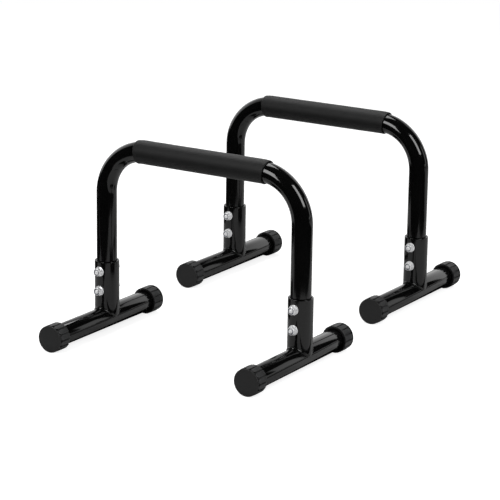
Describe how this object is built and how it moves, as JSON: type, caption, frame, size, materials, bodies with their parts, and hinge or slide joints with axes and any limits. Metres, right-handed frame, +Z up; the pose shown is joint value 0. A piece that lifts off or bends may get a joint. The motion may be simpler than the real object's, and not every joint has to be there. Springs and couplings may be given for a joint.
{
  "type": "pair of push-up bars",
  "caption": "Pair of push-up bars: bent gloss-black steel tubes with foam grips, bolted into welded feet with ribbed end caps.",
  "frame": {"origin": "on the floor, in the middle of the pair's overall box", "axes": "+X along the handles to the right, +Y along the feet from the near ends to the far ends, +Z up"},
  "size_m": [0.4684, 0.753, 0.3464],
  "materials": {
    "gloss_black_paint": "gloss black powder coat",
    "black_foam": "matte closed-cell foam",
    "dark_moulded_cap": "matte moulded plastic",
    "zinc_plate": "bright zinc plate",
    "blue_nylon": "blue nylon"
  },
  "bodies": {
    "front_bar": {"front_frame_tube": "gloss_black_paint", "front_foam_grip": "black_foam", "front_left_foot_tube": "gloss_black_paint", "front_left_socket": "gloss_black_paint", "front_left_near_cap": "dark_moulded_cap", "front_left_far_cap": "dark_moulded_cap", "front_left_upper_bolt": "zinc_plate", "front_left_upper_head_washer": "zinc_plate", "front_left_upper_nut_washer": "zinc_plate", "front_left_upper_nut": "zinc_plate", "front_left_upper_nylon_ring": "blue_nylon", "front_left_lower_bolt": "zinc_plate", "front_left_lower_head_washer": "zinc_plate", "front_left_lower_nut_washer": "zinc_plate", "front_left_lower_nut": "zinc_plate", "front_left_lower_nylon_ring": "blue_nylon", "front_right_foot_tube": "gloss_black_paint", "front_right_socket": "gloss_black_paint", "front_right_near_cap": "dark_moulded_cap", "front_right_far_cap": "dark_moulded_cap", "front_right_upper_bolt": "zinc_plate", "front_right_upper_head_washer": "zinc_plate", "front_right_upper_nut_washer": "zinc_plate", "front_right_upper_nut": "zinc_plate", "front_right_upper_nylon_ring": "blue_nylon", "front_right_lower_bolt": "zinc_plate", "front_right_lower_head_washer": "zinc_plate", "front_right_lower_nut_washer": "zinc_plate", "front_right_lower_nut": "zinc_plate", "front_right_lower_nylon_ring": "blue_nylon"},
    "rear_bar": {"rear_frame_tube": "gloss_black_paint", "rear_foam_grip": "black_foam", "rear_left_foot_tube": "gloss_black_paint", "rear_left_socket": "gloss_black_paint", "rear_left_near_cap": "dark_moulded_cap", "rear_left_far_cap": "dark_moulded_cap", "rear_left_upper_bolt": "zinc_plate", "rear_left_upper_head_washer": "zinc_plate", "rear_left_upper_nut_washer": "zinc_plate", "rear_left_upper_nut": "zinc_plate", "rear_left_upper_nylon_ring": "blue_nylon", "rear_left_lower_bolt": "zinc_plate", "rear_left_lower_head_washer": "zinc_plate", "rear_left_lower_nut_washer": "zinc_plate", "rear_left_lower_nut": "zinc_plate", "rear_left_lower_nylon_ring": "blue_nylon", "rear_right_foot_tube": "gloss_black_paint", "rear_right_socket": "gloss_black_paint", "rear_right_near_cap": "dark_moulded_cap", "rear_right_far_cap": "dark_moulded_cap", "rear_right_upper_bolt": "zinc_plate", "rear_right_upper_head_washer": "zinc_plate", "rear_right_upper_nut_washer": "zinc_plate", "rear_right_upper_nut": "zinc_plate", "rear_right_upper_nylon_ring": "blue_nylon", "rear_right_lower_bolt": "zinc_plate", "rear_right_lower_head_washer": "zinc_plate", "rear_right_lower_nut_washer": "zinc_plate", "rear_right_lower_nut": "zinc_plate", "rear_right_lower_nylon_ring": "blue_nylon"}
  },
  "joints": [
    {"name": "bar_spacing", "type": "slide", "parent": "front_bar", "child": "rear_bar", "axis": [0, 1, 0], "range_m": [-0.137, 0.25]}
  ]
}
